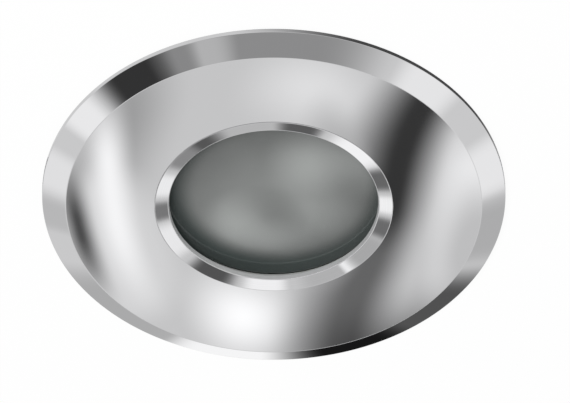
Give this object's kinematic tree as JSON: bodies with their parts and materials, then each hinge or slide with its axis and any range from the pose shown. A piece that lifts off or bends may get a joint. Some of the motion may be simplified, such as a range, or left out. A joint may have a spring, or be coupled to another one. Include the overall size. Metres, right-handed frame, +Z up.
{
  "type": "recessed downlight",
  "caption": "Round recessed ceiling downlight: chromed bevelled trim plate, threaded ring, frosted window, lamp, finned can, terminal box and two sprung clips.",
  "frame": {"origin": "centre of the round cut-out, in the plane of the ceiling's lower surface", "axes": "+Z up into the ceiling void, along the light's own axis; the face looks down, along -Z; the clips lie along X"},
  "size_m": [0.1418, 0.09, 0.0979],
  "materials": {
    "chrome_plate": "polished chrome plate",
    "turned_chrome": "finely turned chrome",
    "frosted_glass": "frosted, grey-green",
    "clear_glass": "clear",
    "mirror_coat": "metal coat on glass",
    "grey_foam": "closed-cell foam",
    "black_silicone": "matt silicone",
    "pale_silicone": "translucent silicone",
    "white_ceramic": "unglazed steatite",
    "zinc_plated_steel": "zinc-plated steel",
    "spring_steel": "drawn spring wire",
    "brass": "turned brass",
    "cast_aluminium": "as cast",
    "black_nylon": "moulded nylon",
    "grey_nylon": "moulded nylon",
    "natural_nylon": "moulded nylon",
    "brown_lead": "extruded insulation",
    "blue_lead": "extruded insulation",
    "green_lead": "extruded insulation"
  },
  "bodies": {
    "root": {"trim_plate": "chrome_plate", "ceiling_gasket": "grey_foam", "glass_upper_seal": "black_silicone", "lampholder": "white_ceramic", "holder_contact_left": "brass", "holder_contact_right": "brass", "holder_strap": "zinc_plated_steel", "holder_screw_left": "zinc_plated_steel", "holder_screw_right": "zinc_plated_steel", "rear_housing": "cast_aluminium", "housing_seal": "black_silicone", "housing_screw_1": "zinc_plated_steel", "housing_screw_2": "zinc_plated_steel", "housing_screw_3": "zinc_plated_steel", "housing_screw_4": "zinc_plated_steel", "terminal_box": "black_nylon", "terminal_lid": "black_nylon", "lid_screw_left": "zinc_plated_steel", "lid_screw_right": "zinc_plated_steel", "box_screw_left": "zinc_plated_steel", "box_screw_right": "zinc_plated_steel", "earth_screw": "brass", "terminal_block": "natural_nylon", "terminal_screw_live": "brass", "terminal_screw_neutral": "brass", "terminal_screw_earth": "brass", "lead_grommet": "black_silicone", "lead_live": "brown_lead", "lead_neutral": "blue_lead", "lead_earth": "green_lead", "gland_body": "grey_nylon", "gland_nut": "grey_nylon", "gland_seal": "black_silicone", "clip_bracket_right": "zinc_plated_steel", "clip_screw_right": "zinc_plated_steel", "clip_pin_right": "spring_steel", "clip_spring_right": "spring_steel", "clip_bracket_left": "zinc_plated_steel", "clip_screw_left": "zinc_plated_steel", "clip_pin_left": "spring_steel", "clip_spring_left": "spring_steel"},
    "window": {"frosted_glass": "frosted_glass", "glass_lower_seal": "pale_silicone"},
    "ring": {"glass_ring": "turned_chrome"},
    "lamp": {"lamp_reflector": "mirror_coat", "lamp_lens": "clear_glass", "lamp_capsule": "clear_glass", "lamp_base": "white_ceramic", "lamp_pin_left": "zinc_plated_steel", "lamp_pin_right": "zinc_plated_steel"},
    "right_arm": {"clip_arm_right": "zinc_plated_steel", "clip_sleeve_right": "black_silicone"},
    "left_arm": {"clip_arm_left": "zinc_plated_steel", "clip_sleeve_left": "black_silicone"}
  },
  "joints": [
    {"name": "window_drop", "type": "slide", "parent": "root", "child": "window", "axis": [0, 0, -1], "range_m": [0, 0.0042]},
    {"name": "ring_unscrew", "type": "hinge", "parent": "window", "child": "ring", "pos_m": [0, 0, 0], "axis": [0, 0, -1], "range_deg": [0, 600]},
    {"name": "lamp_twist", "type": "hinge", "parent": "root", "child": "lamp", "pos_m": [0, 0, 0.05], "axis": [0, 0, -1], "range_deg": [0, 25]},
    {"name": "right_clip_fold", "type": "hinge", "parent": "root", "child": "right_arm", "pos_m": [0.0338, 0, 0.008], "axis": [0, -1, 0], "range_deg": [0, 98], "stiffness_Nm_per_rad": 0.06, "springref_deg": -45.84, "deforming": ["clip_spring_right"]},
    {"name": "left_clip_fold", "type": "hinge", "parent": "root", "child": "left_arm", "pos_m": [-0.0338, 0, 0.008], "axis": [0, 1, 0], "range_deg": [0, 98], "stiffness_Nm_per_rad": 0.06, "springref_deg": -45.84, "deforming": ["clip_spring_left"]}
  ],
  "couplings": [
    {"joint": "window_drop", "follows": "ring_unscrew", "m_per_rad": 0.00039789}
  ]
}
